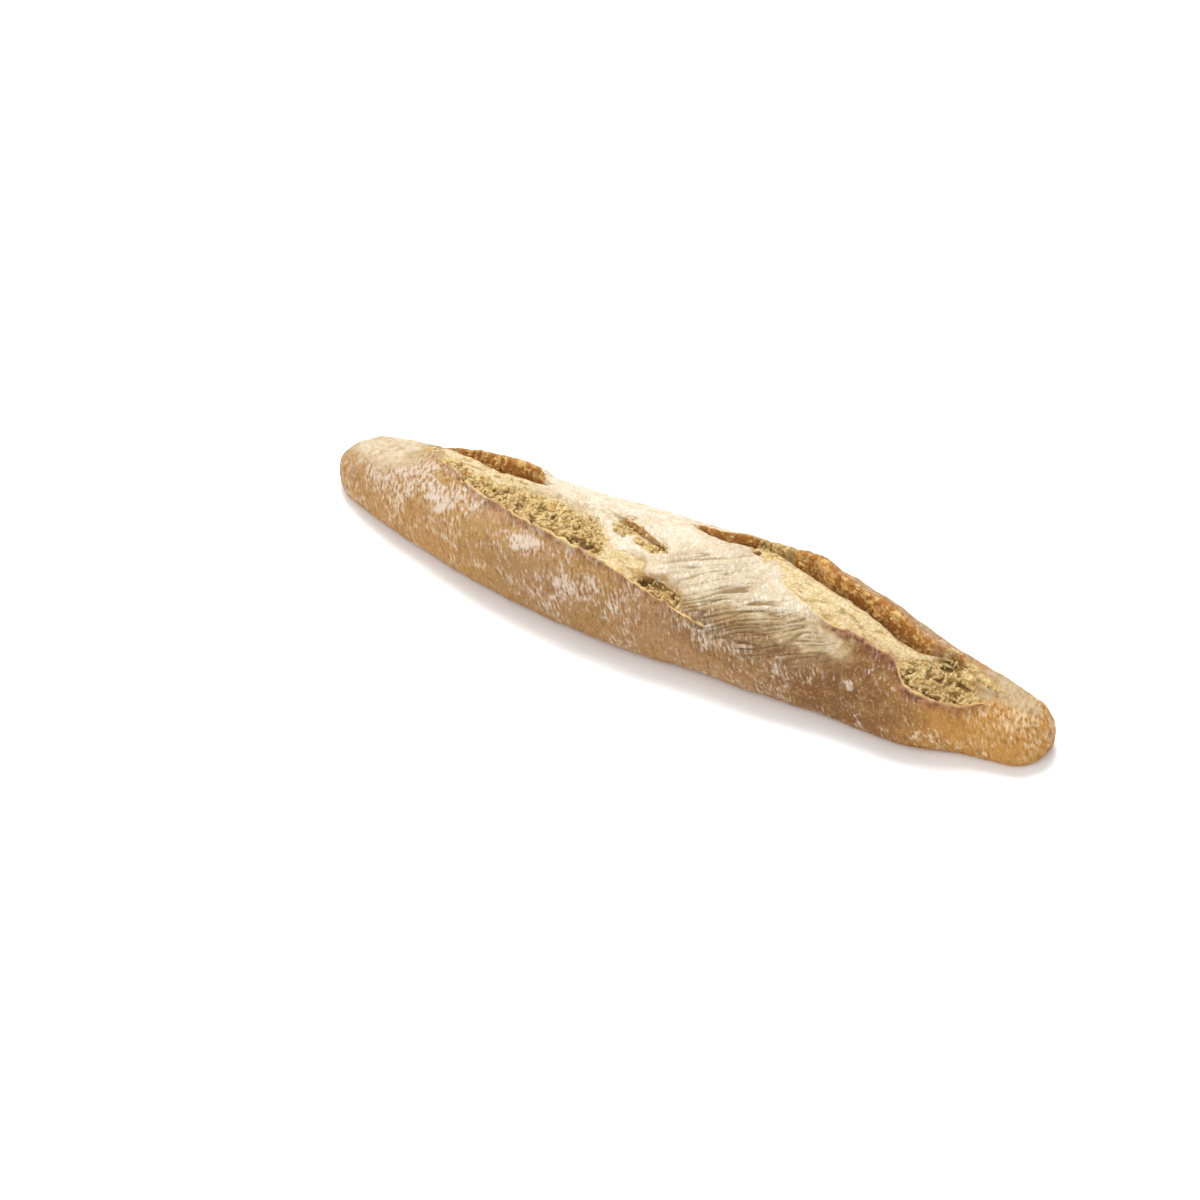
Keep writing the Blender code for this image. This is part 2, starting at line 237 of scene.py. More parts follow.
def dough_noise(points, size, seed):
    """Smooth noise from -1 to 1 over points, with bumps of about the given size."""
    scaled = points / size + LATTICE_START
    cell = np.floor(scaled).astype(np.int64)
    part = scaled - cell
    part = part * part * (3 - 2 * part)
    total = np.zeros(points.shape[:-1])
    for corner in np.ndindex(2, 2, 2):
        share = np.prod(np.where(corner, part, 1 - part), axis=-1)
        total += share * lattice_value(cell + np.array(corner), seed)
    return total


def tip_share(x_mm):
    """How much of the full section is left at x: 1 along the body, rounding to 0 at both tips."""
    broad = (-x_mm * MILLIMETRE - (LOAF_HALF - BROAD_TIP_LENGTH)) / BROAD_TIP_LENGTH
    narrow = (x_mm * MILLIMETRE - (LOAF_HALF - NARROW_TIP_LENGTH)) / NARROW_TIP_LENGTH
    into = np.clip(np.maximum(broad, narrow), 0, 1)
    return np.sqrt(1 - into**TIP_POWER)


def plain_point(x_mm, angle):
    """The point of the plain, unslashed body at x and at an angle round the section."""
    left = tip_share(x_mm)
    half_width, middle = along(BODY["half_width"], x_mm), along(BODY["middle"], x_mm)
    slender = 1 - half_width / WIDEST_HALF
    height = 2 * half_width * (HEIGHT_SHARE + SLENDER_HEIGHT_GAIN * slender)
    lowest = TIP_CENTRE_SHARE * height * (1 - left)
    highest = lowest + height * left
    widest = lowest + WIDEST_HEIGHT_SHARE * (highest - lowest)
    cosine, sine = np.cos(np.radians(angle)), np.sin(np.radians(angle))
    power = 2 / np.where(sine >= 0, TOP_FULLNESS, SOLE_FULLNESS)
    y = middle - half_width * left * np.sign(cosine) * np.abs(cosine) ** power
    reach = np.where(sine >= 0, highest - widest, lowest - widest)
    z = np.maximum(widest + reach * np.abs(sine) ** power, SOLE_FLATTENING / MILLIMETRE)
    return np.stack([x_mm + 0 * angle, y, z - SOLE_FLATTENING / MILLIMETRE], axis=-1) * MILLIMETRE


def section_frame(x_mm, angle):
    """Directions across the plain surface towards the far side, and outwards, in the section's plane."""
    across = plain_point(x_mm, angle + HALF_STEP_DEGREES) - plain_point(x_mm, angle - HALF_STEP_DEGREES)
    across /= np.maximum(np.linalg.norm(across, axis=-1, keepdims=True), SHORTEST_ACROSS)
    outward = np.stack([across[..., 0], -across[..., 2], across[..., 1]], axis=-1)
    return across, outward


def slash_lines(slash, wave_seed, x_mm):
    """The lines of a slash at x as (angle in degrees, outward and far-side shifts in millimetres)."""
    degrees = np.degrees(1 / along(BODY["half_width"], x_mm))
    size = {name: along(stations, x_mm) for name, stations in slash.items()}
    line = np.stack([x_mm * MILLIMETRE, 0 * x_mm, 0 * x_mm], axis=-1)
    ragged = 1 + EDGE_RAGGEDNESS * dough_noise(line, EDGE_WAVE, wave_seed)
    rim, groove = size["rim"], size["groove"]
    torn = rim + (groove - rim) * size["torn_share"]
    lip, trough, gap, ear = size["lip"] * ragged, size["trough"], size["gap"], size["ear"] * ragged
    none = 0 * x_mm
    rim_width = np.minimum(RIM_WIDTH * degrees, RIM_WIDTH_LIMIT * (groove - rim))
    foot_width = np.minimum(BAND_FOOT_WIDTH * degrees, BAND_FOOT_LIMIT * (groove - torn))
    far = size["far_shoulder"] * degrees
    return (
        (rim - size["near_shoulder"] * degrees, none, none),
        (rim - rim_width, OUTER_RIM_HEIGHT * lip, none),
        (rim, lip, none),
        (rim + rim_width, -INNER_RIM_DEPTH * trough, none),
        (rim + TROUGH_PLACE * (torn - rim), -trough, none),
        (torn, -TORN_END_DEPTH * trough, none),
        (torn + BAND_CREST_PLACE * (groove - torn), size["bulge"], none),
        (groove - foot_width, BAND_FOOT_HEIGHT * (size["bulge"] - gap), none),
        (groove, -gap, none),
        (groove + EAR_FOOT_PLACE * far, -EAR_FOOT_DEPTH * gap, EAR_FOOT_SHIFT * gap),
        (groove + EAR_UNDERSIDE_PLACE * far, EAR_UNDERSIDE_HEIGHT * ear, -EAR_LEAN * ear),
        (groove + EAR_CREST_PLACE * far, ear, -EAR_CREST_LEAN * EAR_LEAN * ear),
        (groove + EAR_SHOULDER_PLACE * far, EAR_SHOULDER_HEIGHT * ear, none),
        (groove + far, none, none),
    )


def section_lines(x_mm):
    """Every line round the loaf at x, from the bottom over the top and down to the bottom again."""
    none = 0 * x_mm
    near = [(none + angle, none, none) for angle in (BOTTOM_ANGLE, *NEAR_FLANK_ANGLES)]
    far = [(none + angle, none, none) for angle in (*FAR_FLANK_ANGLES, BOTTOM_ANGLE + 360)]
    first = slash_lines(FIRST_SLASH, FIRST_WAVE_SEED, x_mm)
    second = slash_lines(SECOND_SLASH, SECOND_WAVE_SEED, x_mm)
    lines = [*near, *first, *second, *far]
    return np.array(lines).transpose(1, 2, 0)


# Finer facets than the plain solid's, as counts of rings and columns, and the finest step in millimetres
RING_COUNT = 420
BROAD_TIP_RINGS = 24
NARROW_TIP_RINGS = 18
SLASH_COLUMNS = (6, 2, 2, 6, 6, 6, 4, 3, 2, 5, 3, 3, 4)
SOLE_COLUMNS = 5
FLANK_COLUMNS = (3, 6, 44)
BETWEEN_COLUMNS = 34
FAR_COLUMNS = (26, 5, 3)
DETAIL_STEP = 0.36
PLACE_SAMPLES = 240
RING_STRIDE = 8

# How much of each finish a slash shows, as (millimetres along the loaf, share). "torn_start" has lines
# of the slash in place of shares.
FIRST_FINISH = {
    "torn": (
        (-170, 0), (-122, 0), (-106, 0.8), (-92, 1), (-24, 1), (-14, 0.1), (-4, 0.1), (3, 1), (19, 1),
        (27, 0), (170, 0),
    ),
    "torn_start": ((-170, 2.5), (-44, 2.5), (-28, 3.3), (-12, 3.4), (2, 2.5), (170, 2.5)),
    "cream": ((-170, 0), (-127, 0), (-114, 1), (-84, 1), (-62, 0.4), (-44, 0), (170, 0)),
    "crumb_skin": ((-170, 0), (-125, 0), (-110, 1), (8, 1), (20, 0.7), (30, 0), (170, 0)),
    "ear": (
        (-170, 0), (-127, 0), (-118, 0.35), (-104, 1), (-68, 1), (-62, 0), (-26, 0), (-18, 0.55), (0, 0.5),
        (6, 0), (170, 0),
    ),
    "toast": ((-170, 0), (-130, 0), (-112, 0.8), (-84, 0.9), (-62, 0), (170, 0)),
    "rim": ((-170, 0), (-120, 0), (-104, 0.8), (-80, 0.8), (8, 0.7), (30, 0.3), (36, 0), (170, 0)),
}
SECOND_FINISH = {
    "torn": (
        (-170, 0), (44, 0), (64, 0.25), (106, 0.3), (116, 0.9), (125, 1), (136, 1), (148, 0), (170, 0),
    ),
    "torn_start": ((-170, 2.5), (170, 2.5)),
    "cream": ((-170, 0), (28, 0), (50, 0.8), (66, 1), (112, 1), (122, 0.4), (130, 0), (170, 0)),
    "crumb_skin": ((-170, 0), (40, 0), (60, 0.9), (112, 1), (130, 0), (170, 0)),
    "ear": (
        (-170, 0), (2, 0), (9, 1), (29, 1), (36, 0.1), (46, 0.1), (53, 1), (110, 1), (117, 0.6),
        (122, 0), (170, 0),
    ),
    "toast": ((-170, 0), (8, 0), (34, 0.4), (60, 0.9), (96, 0.8), (114, 0.2), (124, 0), (170, 0)),
    "rim": ((-170, 0), (52, 0), (74, 0.8), (90, 1), (126, 1), (138, 0.7), (146, 0.4), (149, 0), (170, 0)),
}

# Where a slash shows each finish, counted in its lines, as (rise, fall, softness). The torn crumb starts at
# a line of its own, and the gutter's places count from that one.
SLASH_BANDS = {
    "rim": (0.8, 2.4, 0.45), "bead": (1.3, 2.3, 0.25), "edge": (1.9, 3.0, 0.25),
    "crumb_skin": (2.6, 5.2, 0.3), "cream": (5.0, 8.0, 0.35), "ear": (7.9, 10.7, 0.2),
    "toast": (10.6, 12.1, 0.3),
}
TORN_END = 5.0
TORN_END_WAVE = 0.4
TORN_SOFTNESS = 0.3
GUTTER_START = 0.2
GUTTER_END = 1.0
GUTTER_SOFTNESS = 0.2
EDGE_FULL_SHARE = 0.5

# Patches of a finish, in millimetres and degrees, as (along the loaf, round it, reach along, round, share)
PATCHES = {
    "pale": (
        (-146, 98, 30, 52, 0.62), (-40, 118, 62, 34, 1), (6, 92, 32, 34, 1), (42, 74, 44, 34, 1),
        (76, 52, 22, 18, 0.6), (22, 122, 36, 22, 0.8), (148, 104, 18, 40, 0.45), (-24, 76, 30, 24, 1),
        (6, 70, 14, 16, 1),
    ),
    "golden": ((166, 50, 54, 170, 1), (-124, -2, 70, 42, 0.5)),
    "brown": (
        (105, 20, 70, 70, 1), (102, 58, 26, 15, 1), (-10, 6, 110, 46, 0.4), (60, 20, 60, 30, 0.8),
        (-122, 4, 64, 44, 0.3),
    ),
    "wrinkle": ((56, 42, 40, 34, 1), (28, 76, 32, 28, 0.6)),
    "dusted": (
        (-50, 42, 13, 12, 1), (-98, 56, 18, 20, 0.9), (-130, 60, 24, 50, 0.6), (100, 24, 5, 6, 0.9),
        (131, 2, 6, 9, 0.5), (-15, 24, 26, 16, 0.5), (50, 18, 26, 14, 0.5), (156, 70, 18, 70, 0.5),
        (-60, 170, 44, 26, 0.45), (60, 168, 38, 24, 0.5), (10, 190, 30, 20, 0.4),
    ),
    "torn": (
        (37, 111, 13, 15, 1), (34, 24, 3.2, 3.4, 1), (-124, 110, 7, 10, 0.8), (-15, 88, 12, 7, 1),
        (-1, 80, 8, 7, 0.9), (129, 103, 8, 7, 0.8), (139, 91, 11, 7, 0.7),
    ),
    "fill": ((139, 90, 14, 9, 1),),
    # Pits are dented and also coloured darker, as painted shade
    "pit": (
        (34, 24, 2.2, 2.2, 1), (127, 95, 5, 7, 1), (-95, 79, 2.6, 5, 0.9), (-77, 60, 2.2, 3, 0.7),
        (-44, 66, 3, 3, 0.8), (-34, 64, 3, 3, 0.6), (13, 52, 13, 7, 0.8), (131, 68, 9, 9, 0.4),
    ),
}
WAVY_PATCHES = ("pale", "golden", "brown", "wrinkle", "dusted", "torn")
PATCH_FADE = (0.45, 1.15)
PATCH_TURN = 14
WRINKLE_TORN_LOSS = 1.5
# Towards the bottom past these angles the flanks are coloured darker: partly baked darker, partly painted
# shade
NEAR_BAKE_SHADE_ANGLES = (8, 50)
FAR_BAKE_SHADE_ANGLES = (190, 230)

# Layers of noise as (size in metres, height, seed). Heights are in millimetres where they move the surface.
BAND_WOBBLE = ((0.006, 0.35, 11), (0.0024, 0.25, 12))
PATCH_WOBBLE = ((0.008, 6, 13),)
SKIN_LUMPS = ((0.009, 0.3, 21), (0.0042, 0.26, 22), (0.0022, 0.2, 23))
EAR_LUMPS = ((0.0034, 0.5, 27), (0.0012, 0.3, 28))
CREAM_LUMPS = ((0.002, 0.3, 30),)
FINISH_LUMPS = {
    "edge": ((0.0028, 0.5, 26),),
    "rim": ((0.0036, 0.5, 28),),
    "bead": ((0.0034, 0.7, 38),),
    "toast": ((0.003, 0.45, 29),),
}
LONG_LUMPS = np.array([0.4, 1.0, 1.0])

# Torn crumb and flakes: uneven cells as (size, height, seed), and bends as (size, reach, seed)
CELL_SCATTER = 0.42
CELL_LEVEL = 0.4
CRUMB_BEND = (0.0032, 0.0012, 31)
CRUMB_CELLS = ((0.0042, 0.8, 41), (0.0021, 0.55, 51))
CRUMB_GRAIN = ((0.0009, 0.2, 61),)
STRAND_SIZE, STRAND_SEED, STRAND_HEIGHT = 0.0024, 60, 0.35
HOLE_SIZE, HOLE_SEED, HOLE_DEPTH = 0.0027, 62, 0.9
HOLE_EDGE = (0.3, 0.8)
FLAKE_BEND = (0.004, 0.0014, 34)
FLAKE_SIZE, FLAKE_SEED, FLAKE_SHARE = 0.0019, 25, 0.8

# Wrinkles of the stretched skin: creases as (size, seed, width)
WRINKLE_CLIMB = 0.68
WRINKLE_STRETCH = 0.16
WRINKLE_WAVE = ((0.012, 2.2, 70),)
WIDE_CREASES = (0.0021, 71, 0.4)
NARROW_CREASES = (0.0014, 72, 0.5)
NARROW_CREASE_DEPTH = 0.45

# Heights of the relief in millimetres
WRINKLE_DEPTH = 1.1
BLISTER_SIZE, BLISTER_SEED, BLISTER_HEIGHT = 0.0044, 24, 0.75
BLISTER_EDGE = (0.35, 0.8)
BLISTERS_ON_RIM = 1.3
BLISTERS_ON_SKIN = 0.35
BEAD_HEIGHT = 1.0
FLAKE_HEIGHT = 1.5
FILL_HEIGHT = 1.6
PIT_DEPTH = 1.8
GUTTER_DEPTH = 0.7
COARSE_CRUMB_HEIGHT = 0.5
COARSE_CRUMB_SINK = 0.25
RELIEF_FADE_HEIGHT = 0.004
# Where the painted shade falls: in the gutter and the crumb's hollows, and between the ear's flakes
GUTTER_SHADE = 0.6
CRUMB_SHADE_EDGE = (-0.1, 0.9)
FLAKE_SHADE_EDGE = (-0.4, 0.7)

# Parts of the surface in finer facets. Start and end count in lines from the slash's first line, and the
# thickness is in millimetres.
Slab = namedtuple("Slab", "first_line start end low_mm high_mm thickness shown")
TORN_FINISHES = ("torn", "ear")
SLABS = {
    "wrinkled_skin": Slab(FIRST_SLASH_LINE, 3.2, 14.9, -12, 110, 1, ("wrinkle",)),
    "first_torn_crumb": Slab(FIRST_SLASH_LINE, 2.75, 6.6, -116, -10, 2, TORN_FINISHES),
    "first_torn_pocket": Slab(FIRST_SLASH_LINE, 2.75, 6.2, -6, 28, 2, TORN_FINISHES),
    "first_torn_ledge": Slab(FIRST_SLASH_LINE, 6.6, 11, -30, 9, 1, TORN_FINISHES),
    "first_ear_underside": Slab(FIRST_SLASH_LINE, 8, 10.6, -122, -64, 0.7, TORN_FINISHES),
    "second_torn_crumb": Slab(SECOND_SLASH_LINE, 2.75, 7.6, 104, 149, 2, TORN_FINISHES),
    "second_ear_underside": Slab(SECOND_SLASH_LINE, 7.8, 10.6, 6, 150, 0.7, TORN_FINISHES),
    "second_rough_bridge": Slab(SECOND_SLASH_LINE, 5.6, 9.6, 28, 56, 1, TORN_FINISHES),
}
SLAB_EDGE_FACETS = 4
SLAB_SHOWN = (0.1, 0.6)
SLAB_DIP = 0.75
SLAB_LIFT = 0.05
EAR_CRUMBS = 0.75
CRUMBS_STREWN = (0.3, 1.0)


def soft_step(value, low, high):
    """0 below the low value and 1 above the high one, with a smooth step between them."""
    share = np.clip((value - low) / (high - low), 0, 1)
    return share * share * (3 - 2 * share)


def window(value, rise, fall, soft):
    """1 between the rise and the fall, 0 outside them, with soft edges of the given half width."""
    return soft_step(value, rise - soft, rise + soft) * (1 - soft_step(value, fall - soft, fall + soft))


def patches(name, x_mm, angle):
    """The largest share of any patch of the finish at each place, fading out towards its reach."""
    total = 0 * angle
    for centre, turn, reach, spread, share in PATCHES[name]:
        away = np.hypot((x_mm - centre) / reach, (angle - turn) / spread)
        total = np.maximum(total, share * (1 - soft_step(away, *PATCH_FADE)))
    return total


def layered_noise(points, layers):
    """The layers of noise added up, each (size in metres, height, seed)."""
    return sum(height * dough_noise(points, size, seed) for size, height, seed in layers)


def bent_points(points, size, reach, seed):
    """The points pushed about by noise, so that a pattern on them runs unevenly."""
    bends = [dough_noise(points, size, seed + axis) for axis in range(3)]
    return points + reach * np.stack(bends, axis=-1)


def cell_walls(points, size, seed):
    """0 on the walls between uneven cells of about the given size, rising to 1 at their middles."""
    scaled = points / size + LATTICE_START
    base = np.floor(scaled).astype(np.int64)
    nearest = np.full(points.shape[:-1], np.inf)
    second = nearest.copy()
    for corner in np.ndindex(3, 3, 3):
        cell = base + np.array(corner) - 1
        middle = np.stack([lattice_value(cell, seed + axis) for axis in range(3)], axis=-1)
        away = np.linalg.norm(cell + 0.5 + CELL_SCATTER * middle - scaled, axis=-1)
        second = np.minimum(second, np.maximum(nearest, away))
        nearest = np.minimum(nearest, away)
    return np.clip(second - nearest, 0, 1)


def column_places():
    """Where the columns of facets stand, counted in lines from the bottom one."""
    counts = (
        SOLE_COLUMNS, *FLANK_COLUMNS, *SLASH_COLUMNS, BETWEEN_COLUMNS, *SLASH_COLUMNS, *FAR_COLUMNS,
        SOLE_COLUMNS,
    )
    places = [line + share / count for line, count in enumerate(counts) for share in range(count)]
    return np.array(places)


def ring_places():
    """Where the rings of facets stand along the loaf, in millimetres, with both poles."""
    broad, narrow = BROAD_TIP_LENGTH / MILLIMETRE, NARROW_TIP_LENGTH / MILLIMETRE
    half = LOAF_HALF / MILLIMETRE
    turn = np.linspace(0, np.pi / 2, BROAD_TIP_RINGS + 1)
    start = -half + broad * (1 - np.cos(turn))
    turn = np.linspace(np.pi / 2, 0, NARROW_TIP_RINGS + 1)
    end = half - narrow * (1 - np.cos(turn))
    body_count = RING_COUNT - BROAD_TIP_RINGS - NARROW_TIP_RINGS
    body = np.linspace(start[-1], end[0], body_count + 1)
    return np.concatenate([start, body[1:], end[1:]])


def shaped_grid(x_mm, places):
    """A grid of points on the slashed loaf, and each point's place along it and angle round it."""
    angles, outward_mm, across_mm = section_lines(x_mm)
    lines = np.arange(angles.shape[-1], dtype=float)
    angle = smooth_through(lines, angles, places)
    outward_by = smooth_through(lines, outward_mm, places)
    across_by = smooth_through(lines, across_mm, places)
    along_x = np.repeat(x_mm[:, None], len(places), axis=1)
    points = plain_point(along_x, angle)
    across, outward = section_frame(along_x, angle)
    lump = dough_noise(points, LUMP_SIZE, LUMP_SEED) * LUMP_HEIGHT
    above_sole = np.clip(points[..., 2:] / LUMP_FADE_HEIGHT, 0, 1)
    roundness = tip_share(x_mm)[:, None, None]
    points += across * across_by[..., None] * MILLIMETRE
    points += outward * outward_by[..., None] * MILLIMETRE
    points += outward * lump[..., None] * above_sole * roundness
    return points, along_x, angle


def outward_normals(points, closed):
    """The outward direction at each point of the grid, whose columns may close on themselves."""
    ahead = np.gradient(points, axis=0)
    if closed:
        round_it = np.roll(points, -1, axis=1) - np.roll(points, 1, axis=1)
    else:
        round_it = np.gradient(points, axis=1)
    normal = np.cross(ahead, round_it)
    return normal / np.maximum(np.linalg.norm(normal, axis=-1, keepdims=True), SHORTEST_NORMAL)


def slash_finish(finish, first_line, place, x_mm, wobble):
    """Where a slash shows its rim, torn crumb, cream band, ear's underside and toasted top."""
    line = place - first_line + wobble
    share = {name: along(stations, x_mm) for name, stations in finish.items()}
    band = {name: window(line, *limits) for name, limits in SLASH_BANDS.items()}
    start = share["torn_start"]
    torn = window(line, start, TORN_END + TORN_END_WAVE * wobble, TORN_SOFTNESS) * share["torn"]
    gutter = window(line, start + GUTTER_START, start + GUTTER_END, GUTTER_SOFTNESS)
    cream = np.maximum(band["cream"] * share["cream"], band["crumb_skin"] * share["crumb_skin"])
    return {
        "rim": band["rim"] * share["rim"],
        "bead": band["bead"] * share["rim"],
        "edge": band["edge"] * soft_step(share["rim"], 0, EDGE_FULL_SHARE),
        "torn": torn,
        "gutter": gutter * torn,
        "cream": np.clip(cream - torn, 0, 1),
        "ear": band["ear"] * share["ear"],
        "toast": band["toast"] * share["toast"],
    }


def loaf_finish(points, x_mm, angle, place):
    """A share from 0 to 1 of each finish at each point."""
    wobble = layered_noise(points, BAND_WOBBLE)
    first = slash_finish(FIRST_FINISH, FIRST_SLASH_LINE, place, x_mm, wobble)
    second = slash_finish(SECOND_FINISH, SECOND_SLASH_LINE, place, x_mm, wobble)
    finish = {name: np.maximum(first[name], second[name]) for name in first}
    turned = angle + PATCH_TURN * wobble
    shifted = x_mm + layered_noise(points, PATCH_WOBBLE)
    for name in WAVY_PATCHES:
        finish[name] = np.maximum(finish.get(name, 0), patches(name, shifted, turned))
    for name in ("pit", "fill"):
        finish[name] = patches(name, x_mm, angle)
    finish["wrinkle"] *= np.clip(1 - WRINKLE_TORN_LOSS * finish["torn"] - finish["ear"], 0, 1)
    # Darker towards the bottom on both flanks: partly baked darker, partly painted shade
    near_bake_and_shade = soft_step(-turned, *NEAR_BAKE_SHADE_ANGLES)
    finish["bake_and_painted_shade"] = np.maximum(near_bake_and_shade, soft_step(turned, *FAR_BAKE_SHADE_ANGLES))
    return finish


def crumb_relief(points):
    """The lumps and holes of torn crumb, from about -1 in the holes to 1 on the lumps."""
    bent = bent_points(points, *CRUMB_BEND)
    relief = sum(height * (cell_walls(bent, size, seed) - CELL_LEVEL) for size, height, seed in CRUMB_CELLS)
    relief += STRAND_HEIGHT * (1 - 2 * np.abs(dough_noise(bent, STRAND_SIZE, STRAND_SEED)))
    relief += layered_noise(points, CRUMB_GRAIN)
    return relief - HOLE_DEPTH * soft_step(dough_noise(bent, HOLE_SIZE, HOLE_SEED), *HOLE_EDGE)


def ear_relief(points):
    """The torn flakes of an ear's underside, which run along it."""
    bent = bent_points(points, *FLAKE_BEND) * LONG_LUMPS
    flakes = cell_walls(bent, FLAKE_SIZE, FLAKE_SEED) - CELL_LEVEL
    return FLAKE_SHARE * flakes + layered_noise(points, EAR_LUMPS)


def crease_walls(sheet, size, seed, width):
    """0 in the middle of the creases of a sheet, rising to 1 beside them."""
    return soft_step(np.abs(dough_noise(sheet, size, seed)), 0, width)


def skin_wrinkles(x_mm, angle, points):
    """Fine creases that climb round the loaf as they run along it, 0 on the skin and -1 in a crease."""
    climb = np.radians(angle) * WIDEST_HALF - WRINKLE_CLIMB * x_mm + layered_noise(points, WRINKLE_WAVE)
    sheet = np.stack([WRINKLE_STRETCH * x_mm, climb, 0 * climb], axis=-1) * MILLIMETRE
    narrow = 1 - NARROW_CREASE_DEPTH * (1 - crease_walls(sheet, *NARROW_CREASES))
    return np.minimum(crease_walls(sheet, *WIDE_CREASES), narrow) - 1


def smooth_share(finish):
    """Where neither torn crumb nor an ear's underside shows."""
    return np.clip(1 - finish["torn"] - finish["ear"], 0, 1)


def relief_height(points, finish, crumb, flakes, folds):
    """How far each point is moved outwards, in millimetres."""
    smooth = smooth_share(finish)
    height = smooth * (layered_noise(points, SKIN_LUMPS) + WRINKLE_DEPTH * finish["wrinkle"] * folds)
    blister = soft_step(dough_noise(points, BLISTER_SIZE, BLISTER_SEED), *BLISTER_EDGE)
    blistered = BLISTERS_ON_RIM * finish["rim"] + BLISTERS_ON_SKIN * smooth - finish["cream"]
    height += BLISTER_HEIGHT * blister * np.clip(blistered, 0, 1)
    for name, layers in FINISH_LUMPS.items():
        height += finish[name] * layered_noise(points, layers)
    height += finish["cream"] * layered_noise(points * LONG_LUMPS, CREAM_LUMPS)
    height += finish["torn"] * crumb + finish["ear"] * FLAKE_HEIGHT * flakes
    height += BEAD_HEIGHT * finish["bead"] + FILL_HEIGHT * finish["fill"]
    return height - PIT_DEPTH * finish["pit"] - GUTTER_DEPTH * finish["gutter"]


def add_relief(points, x_mm, angle, finish, closed, torn_height, sunk):
    """The points moved out and in for the relief, and the outward directions. Shades join the finish."""
    normal = outward_normals(points, closed)
    crumb, flakes, folds = crumb_relief(points), ear_relief(points), skin_wrinkles(x_mm, angle, points)
    height = relief_height(points, finish, torn_height * crumb, torn_height * flakes, folds) - sunk
    raised = np.clip(points[..., 2] / RELIEF_FADE_HEIGHT, 0, 1)
    moved = points + normal * (height * raised)[..., None] * MILLIMETRE
    moved[..., 2] = np.maximum(moved[..., 2], 0)
    # Painted shade: the torn crumb is coloured darker in its hollows and gutter, and the pits darker still
    shade = soft_step(GUTTER_SHADE * finish["gutter"] - crumb, *CRUMB_SHADE_EDGE)
    finish["depth"] = np.maximum(finish["torn"] * shade, finish["pit"])
    # Painted shading: the ear's underside is coloured lighter on its raised flakes and darker between them
    finish["painted_flake_shading"] = soft_step(flakes, *FLAKE_SHADE_EDGE)
    # Painted shade: the creases of the wrinkled skin are coloured darker
    finish["painted_crease_shade"] = finish["wrinkle"] * smooth_share(finish) * -folds
    return moved, normal


def placing_shift(points):
    """How far the shaped loaf lies from the plain solid's box."""
    low, high = points.min(axis=(0, 1)), points.max(axis=(0, 1))
    cad_low, cad_high = np.array(CAD_BOX[0]), np.array(CAD_BOX[1])
    shift = (low + high) / 2 - (cad_low + cad_high) / 2
    shift[2] = low[2] - cad_low[2]
    return shift


def closed_faces(rings, columns):
    """Faces of a grid whose columns close on themselves, with a pole before and after its rings."""
    faces = []
    last = 1 + rings * columns
    end = 1 + (rings - 1) * columns
    for column in range(columns):
        beside = (column + 1) % columns
        faces.append((0, 1 + column, 1 + beside))
        faces.append((last, end + beside, end + column))
        for ring in range(rings - 1):
            near, far = 1 + ring * columns, 1 + (ring + 1) * columns
            faces.append((near + column, far + column, far + beside, near + beside))
    return faces


def grid_faces(rings, columns, first=0):
    """Faces of an open grid whose points are numbered from the first one."""
    faces = []
    for ring in range(rings - 1):
        for column in range(columns - 1):
            at = first + ring * columns + column
            faces.append((at, at + columns, at + columns + 1, at + 1))
    return faces


def slab_faces(rings, columns):
    """Faces of a slab: a grid, the same grid below it, and the walls between their edges."""
    below = rings * columns
    faces = []
    for face in grid_faces(rings, columns):
        faces += [face, tuple(corner + below for corner in reversed(face))]
    edge = [(column, 0) for column in range(columns)]
    edge += [(columns - 1, ring) for ring in range(1, rings)]
    edge += [(column, rings - 1) for column in range(columns - 2, -1, -1)]
    edge += [(0, ring) for ring in range(rings - 2, 0, -1)]
    corners = [ring * columns + column for column, ring in edge]
    for here, there in zip(corners, corners[1:] + corners[:1]):
        faces.append((here, there, there + below, here + below))
    return faces


def finished_mesh(name, points, faces, finish):
    """A mesh with each finish as an attribute of its points."""
    mesh = bpy.data.meshes.new(name)
    mesh.from_pydata(points.tolist(), [], faces)
    for key, values in finish.items():
        layer = mesh.attributes.new(key, "FLOAT", "POINT")
        layer.data.foreach_set("value", values)
    mesh.shade_smooth()
    mesh.validate()
    return mesh


def with_poles(grid):
    """The rings of a grid in one row, with the mean of its first and last ring before and after them."""
    inner = grid[1:-1].reshape(-1, *grid.shape[2:])
    return np.concatenate([grid[0].mean(axis=0)[None], inner, grid[-1].mean(axis=0)[None]])


def loaf_mesh(shift):
    places = column_places()
    points, x_mm, angle = shaped_grid(ring_places(), places)
    points = points - shift
    finish = loaf_finish(points, x_mm, angle, places)
    sunk = COARSE_CRUMB_SINK * finish["torn"]
    points, _ = add_relief(points, x_mm, angle, finish, True, COARSE_CRUMB_HEIGHT, sunk)
    faces = closed_faces(points.shape[0] - 2, points.shape[1])
    closed_finish = {name: with_poles(values) for name, values in finish.items()}
    return finished_mesh("baked_loaf", with_poles(points), faces, closed_finish)


def edge_fade(rings, columns, width):
    """0 at the edge of a grid, rising to 1 within a width counted in facets."""
    row = np.minimum(np.arange(rings), np.arange(rings)[::-1])
    column = np.minimum(np.arange(columns), np.arange(columns)[::-1])
    return soft_step(np.minimum(row[:, None], column[None]), 0, width)


def even_places(x_mm, slab):
    """Where the columns of a fine grid stand, counted in lines, about the same width apart."""
    fine = slab.first_line + np.linspace(slab.start, slab.end, PLACE_SAMPLES)
    rough, *_ = shaped_grid(x_mm[::RING_STRIDE], fine)
    widths_mm = np.linalg.norm(np.diff(rough, axis=1), axis=-1) / MILLIMETRE
    reach = np.concatenate([[0], (widths_mm.mean(axis=0) + widths_mm.max(axis=0)).cumsum() / 2])
    return np.interp(np.linspace(0, reach[-1], round(reach[-1] / DETAIL_STEP)), reach, fine)


